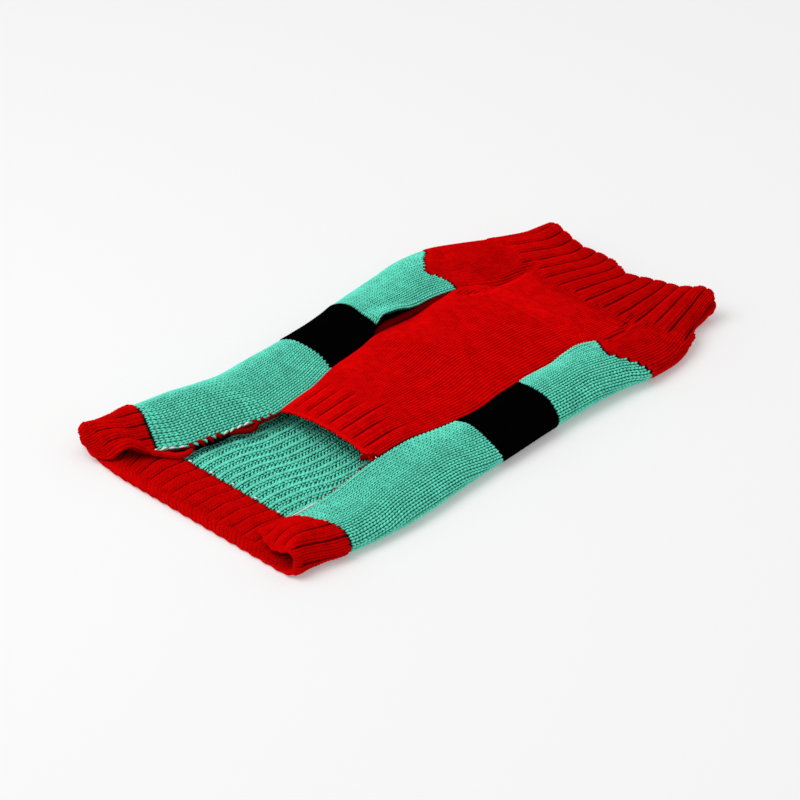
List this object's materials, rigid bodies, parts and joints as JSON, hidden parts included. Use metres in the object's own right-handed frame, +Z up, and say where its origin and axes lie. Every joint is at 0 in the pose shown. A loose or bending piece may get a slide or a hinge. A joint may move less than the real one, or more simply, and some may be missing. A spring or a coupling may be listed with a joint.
{
  "type": "dog sweater",
  "caption": "Knitted dog sweater lying flat with its belly side up: ribbed hem, belly edge and collar, colour-blocked back wrapping both sides, open tail end, neck and leg holes.",
  "frame": {"origin": "under the middle of the sweater's bounding box, on the floor it lies on", "axes": "+Z up, out of the belly side; +Y from the tail hem to the collar; +X to the wearer's left"},
  "size_m": [0.2492, 0.4612, 0.0333],
  "materials": {
    "red_knit": "matte plied yarn, knitted",
    "turquoise_knit": "matte plied yarn, knitted",
    "black_knit": "matte plied yarn, knitted"
  },
  "bodies": {
    "root": {"hem_rib": "red_knit", "back_rear": "turquoise_knit", "back_belt": "black_knit", "back_front": "turquoise_knit", "back_yoke": "red_knit", "belly_hem_rib": "red_knit", "belly_panel": "red_knit", "collar": "red_knit", "edge_trim_left": "red_knit", "edge_trim_right": "red_knit"}
  },
  "joints": []
}
